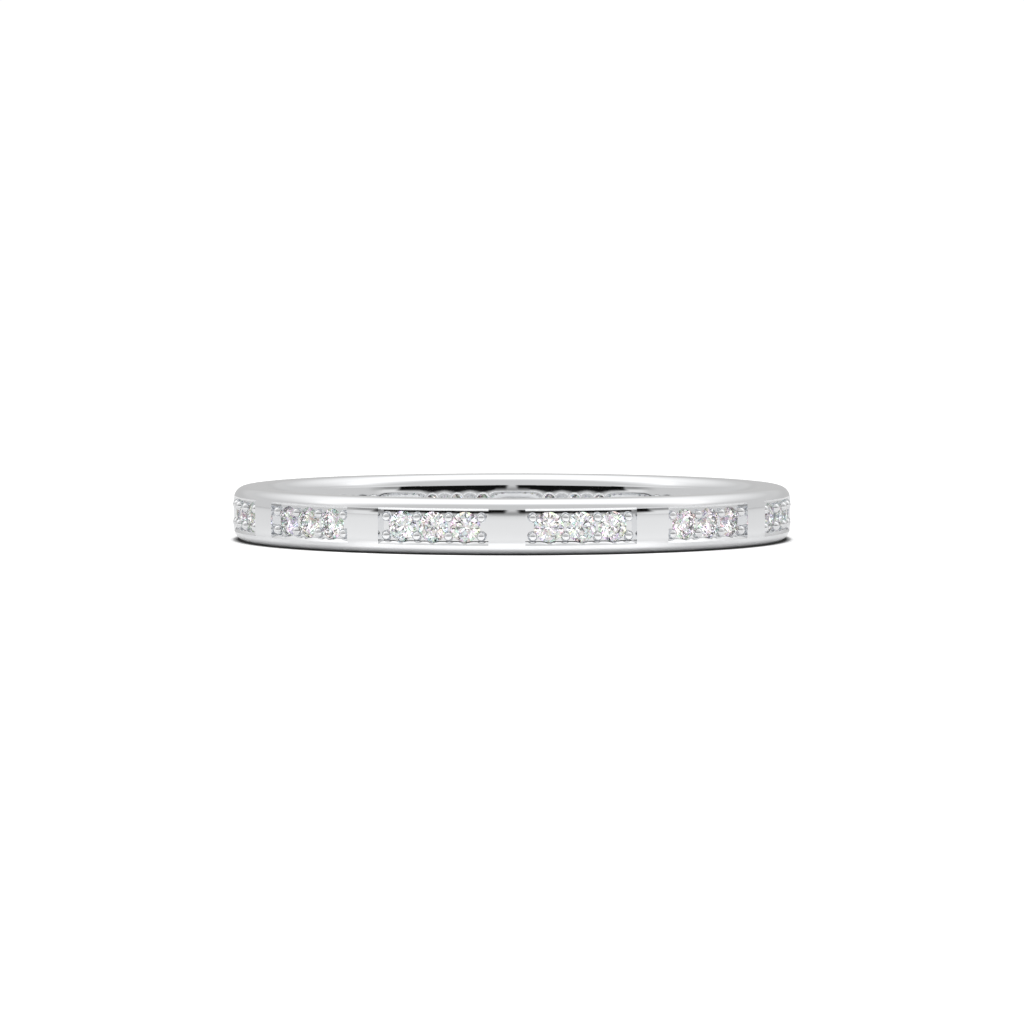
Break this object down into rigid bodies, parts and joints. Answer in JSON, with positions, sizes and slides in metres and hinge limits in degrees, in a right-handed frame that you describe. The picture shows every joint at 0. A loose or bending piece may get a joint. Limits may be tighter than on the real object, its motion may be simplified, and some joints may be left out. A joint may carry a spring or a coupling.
{
  "type": "diamond wedding band",
  "caption": "Narrow polished wedding band with small round diamonds set in sunk windows between plain bars, all the way round.",
  "frame": {"origin": "centre of the lower side face, on the ring's axis, with the ring lying on its side", "axes": "+Z along the ring's axis, upward out of the finger hole; +X and -Y each run through the middle of a plain bar"},
  "size_m": [0.0204, 0.0204, 0.0019],
  "materials": {
    "white_gold": "mirror polished, rhodium bright",
    "diamond": "clear, facets polished"
  },
  "bodies": {
    "root": {"band": "white_gold", "diamond_01": "diamond", "diamond_02": "diamond", "diamond_03": "diamond", "diamond_04": "diamond", "diamond_05": "diamond", "diamond_06": "diamond", "diamond_07": "diamond", "diamond_08": "diamond", "diamond_09": "diamond", "diamond_10": "diamond", "diamond_11": "diamond", "diamond_12": "diamond", "diamond_13": "diamond", "diamond_14": "diamond", "diamond_15": "diamond", "diamond_16": "diamond", "diamond_17": "diamond", "diamond_18": "diamond", "diamond_19": "diamond", "diamond_20": "diamond", "diamond_21": "diamond", "diamond_22": "diamond", "diamond_23": "diamond", "diamond_24": "diamond", "diamond_25": "diamond", "diamond_26": "diamond", "diamond_27": "diamond", "diamond_28": "diamond", "diamond_29": "diamond", "diamond_30": "diamond", "diamond_31": "diamond", "diamond_32": "diamond", "diamond_33": "diamond", "diamond_34": "diamond", "diamond_35": "diamond", "diamond_36": "diamond"}
  },
  "joints": []
}
